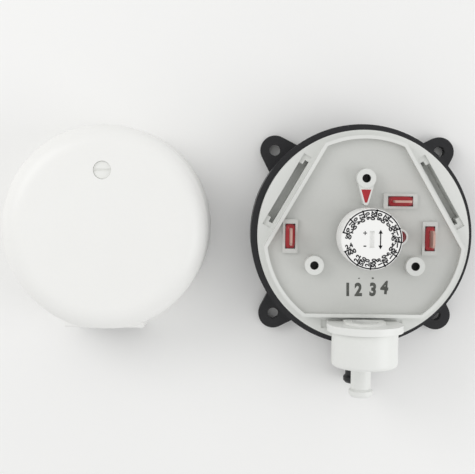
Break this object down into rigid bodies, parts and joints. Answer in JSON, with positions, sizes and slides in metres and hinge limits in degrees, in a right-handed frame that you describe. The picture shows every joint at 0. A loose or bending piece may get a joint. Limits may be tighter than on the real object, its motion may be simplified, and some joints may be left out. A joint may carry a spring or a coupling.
{
  "type": "differential pressure switch",
  "caption": "Round differential pressure switch for air with adjusting dial, spade terminals, cable gland and two hose stubs, its cover taken off beside it.",
  "frame": {"origin": "the switch's own axis on its back face, the plane on which switch and cover lie", "axes": "+Z out of the switch's front, -Y towards the cable gland and the hose stubs, +X away from the cover that lies beside it"},
  "size_m": [0.1804, 0.1054, 0.0501],
  "materials": {
    "black_shell": "black moulded plastic, fine matt grain",
    "zinc_steel": "zinc-plated steel",
    "silicone": "thin silicone membrane",
    "inner_plastic": "natural moulded plastic",
    "spring_steel": "drawn spring steel",
    "brass": "turned brass",
    "grey_body": "light grey moulded plastic, satin",
    "dial_white": "white moulded plastic with a printed scale",
    "seal_rubber": "black rubber",
    "pointer_red": "red lacquer filling",
    "resin_red": "red sealing resin, glossy",
    "terminal_brass": "stamped brass strip, tinned at the tabs",
    "contact_silver": "silver contact rivet",
    "gland_plastic": "pale moulded plastic, satin",
    "cover_white": "white moulded plastic, satin"
  },
  "bodies": {
    "housing": {"lower_shell": "black_shell", "housing_screws": "zinc_steel", "diaphragm": "silicone", "range_spring": "spring_steel", "switch_body": "grey_body", "dial_seal": "seal_rubber", "pointer_mark": "pointer_red", "stop_screw": "brass", "stop_screw_seal": "resin_red", "terminal_1": "terminal_brass", "terminal_2": "terminal_brass", "terminal_3": "terminal_brass", "terminal_resin_1": "resin_red", "terminal_resin_2": "resin_red", "terminal_resin_3": "resin_red", "lower_contact": "contact_silver", "upper_contact": "contact_silver", "lever_pin": "spring_steel", "gland_body": "gland_plastic", "gland_seal": "seal_rubber", "cover": "cover_white", "cover_screw": "gland_plastic"},
    "dial": {"adjusting_dial": "dial_white", "dial_clip": "spring_steel"},
    "seat": {"spring_seat": "brass"},
    "plate": {"diaphragm_plate": "inner_plastic", "push_pin": "inner_plastic"},
    "lever": {"contact_lever": "terminal_brass", "lever_contact": "contact_silver"},
    "pressure_ring": {"gland_ring": "gland_plastic"},
    "nut": {"gland_nut": "gland_plastic"}
  },
  "joints": [
    {"name": "dial_turn", "type": "hinge", "parent": "housing", "child": "dial", "pos_m": [0, 0, 0.03], "axis": [0, 0, 1], "range_deg": [-77, 245]},
    {"name": "seat_travel", "type": "slide", "parent": "housing", "child": "seat", "axis": [0, 0, -1], "range_m": [-0.00048, 0.00153], "deforming": ["range_spring"]},
    {"name": "plate_travel", "type": "slide", "parent": "housing", "child": "plate", "axis": [0, 0, 1], "range_m": [0, 0.0015], "stiffness_N_per_m": 800, "deforming": ["diaphragm"]},
    {"name": "lever_swing", "type": "hinge", "parent": "housing", "child": "lever", "pos_m": [0.0133, 0.0133, 0.0196], "axis": [-1, 0, 0], "range_deg": [0, 5.06]},
    {"name": "ring_travel", "type": "slide", "parent": "housing", "child": "pressure_ring", "axis": [0, -1, 0], "range_m": [0, 0.0045]},
    {"name": "nut_turn", "type": "hinge", "parent": "pressure_ring", "child": "nut", "pos_m": [0, -0.041, 0.036], "axis": [0, -1, 0], "range_deg": [0, 1080]}
  ],
  "couplings": [
    {"joint": "dial_turn", "follows": "seat_travel", "rad_per_m": 2792.5},
    {"joint": "lever_swing", "follows": "plate_travel", "rad_per_m": 58.824},
    {"joint": "nut_turn", "follows": "ring_travel", "rad_per_m": 4188.8}
  ]
}
